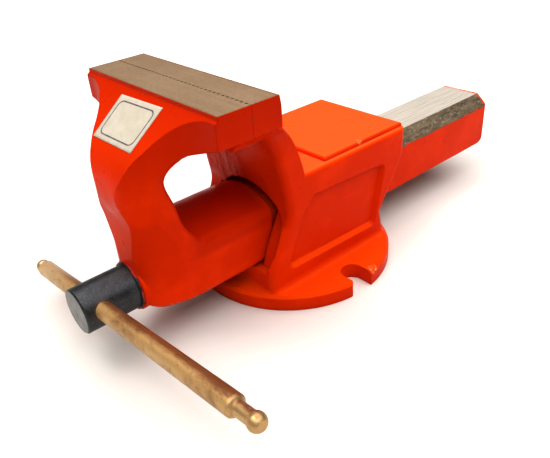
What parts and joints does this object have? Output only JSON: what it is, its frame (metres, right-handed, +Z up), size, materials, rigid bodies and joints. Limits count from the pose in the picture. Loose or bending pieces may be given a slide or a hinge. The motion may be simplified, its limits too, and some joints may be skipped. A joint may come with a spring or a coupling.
{
  "type": "bench vise",
  "caption": "Bolt-down bench vise: cast body on a round slotted flange, through guide, serrated jaw plates, anvil pad, screw spindle and sliding tommy bar.",
  "frame": {"origin": "centre of the round base flange, on its underside", "axes": "+Z up from the bench, +Y to the rear along the guide, +X to the right seen from the front"},
  "size_m": [0.2584, 0.3986, 0.162],
  "materials": {
    "painted_casting": "glossy orange enamel over cast iron; jaw tops, guide top and chamfers left bare",
    "jaw_plate_steel": "ground, slightly tarnished",
    "screw_black": "black oxide",
    "spindle_black": "black oxide, machined front face",
    "washer_black": "black oxide",
    "spring_steel": "oiled",
    "collar_steel": "turned",
    "bar_coppered": "copper-coloured turned bar, stained",
    "nut_iron": "machined, greased",
    "bolt_steel": "plain"
  },
  "bodies": {
    "fixed": {"fixed_body": "painted_casting", "rear_jaw_plate": "jaw_plate_steel", "rear_jaw_screws": "screw_black", "spindle_nut": "nut_iron", "nut_bolts": "bolt_steel", "nut_bolt_washers": "bolt_steel", "nut_dowels": "bolt_steel"},
    "jaw": {"movable_jaw": "painted_casting", "front_jaw_plate": "jaw_plate_steel", "front_jaw_screws": "screw_black"},
    "screw": {"spindle": "spindle_black", "thrust_washer": "washer_black", "backing_washer": "washer_black", "disc_springs": "spring_steel", "retaining_collar": "collar_steel", "retaining_pin": "bolt_steel", "end_stop_collar": "collar_steel", "end_stop_pin": "bolt_steel"},
    "bar": {"tommy_bar": "bar_coppered"}
  },
  "joints": [
    {"name": "jaw_slide", "type": "slide", "parent": "fixed", "child": "jaw", "axis": [0, -1, 0], "range_m": [0, 0.15]},
    {"name": "spindle_turn", "type": "hinge", "parent": "jaw", "child": "screw", "pos_m": [0, -0.139, 0.041], "axis": [0, -1, 0], "range_deg": [0, 9000]},
    {"name": "bar_slide", "type": "slide", "parent": "screw", "child": "bar", "axis": [0.9866, 0, 0.1633], "range_m": [-0.131, 0.066]}
  ],
  "couplings": [
    {"joint": "jaw_slide", "follows": "spindle_turn", "m_per_rad": 0.0009549}
  ]
}
